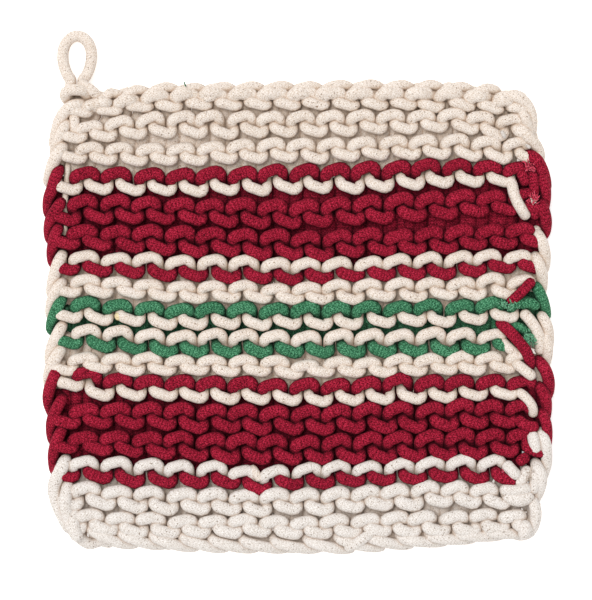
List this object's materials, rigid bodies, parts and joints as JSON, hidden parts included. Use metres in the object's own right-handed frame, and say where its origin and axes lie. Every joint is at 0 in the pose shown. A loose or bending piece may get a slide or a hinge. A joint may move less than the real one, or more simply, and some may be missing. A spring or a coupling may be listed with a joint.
{
  "type": "knitted pot holder with hanging loop",
  "caption": "Square garter stitch pot holder in thick cotton cord, striped, with a hanging loop at one corner, lying on its back.",
  "frame": {"origin": "middle of the whole outline, on the surface that the pot holder lies on", "axes": "+Z out of the shown face, +Y to the bind-off edge with the hanging loop, +X to the right of the shown face"},
  "size_m": [0.206, 0.2107, 0.0124],
  "materials": {
    "knitted_cotton": "matt soft tubular cotton cord, flecked ecru with red and green stripes",
    "cotton_cord": "matt soft tubular cotton cord, flecked ecru"
  },
  "bodies": {
    "root": {"knitted_panel": "knitted_cotton", "hanging_loop": "cotton_cord"}
  },
  "joints": []
}
